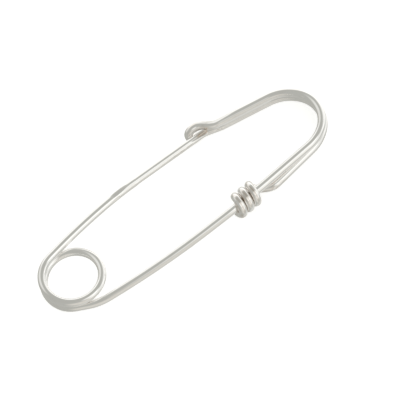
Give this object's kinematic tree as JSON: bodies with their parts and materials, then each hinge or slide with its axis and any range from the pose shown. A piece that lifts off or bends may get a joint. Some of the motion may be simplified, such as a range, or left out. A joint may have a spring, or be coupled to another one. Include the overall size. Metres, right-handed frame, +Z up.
{
  "type": "safety-pin brooch",
  "caption": "Safety-pin brooch of round silver wire, with a spring coil at one end, a doubled head with a folded catch, a wire wrap and a pin that presses inwards.",
  "frame": {"origin": "middle of the underside, on the surface that the brooch lies on", "axes": "+X from the spring coil to the head, +Y towards the pin, +Z up from the surface"},
  "size_m": [0.0586, 0.0208, 0.0047],
  "materials": {
    "silver": "polished sterling silver with faint drawing lines and small handling marks"
  },
  "bodies": {
    "bow": {"bow_wire": "silver", "spring_coil": "silver"},
    "pin": {"pin": "silver"}
  },
  "joints": [
    {"name": "pin_swing", "type": "hinge", "parent": "bow", "child": "pin", "pos_m": [-0.02337, -0.00254, 0.002], "axis": [0, 0, -1], "range_deg": [0, 21], "stiffness_Nm_per_rad": 0.29, "deforming": ["spring_coil"]}
  ]
}
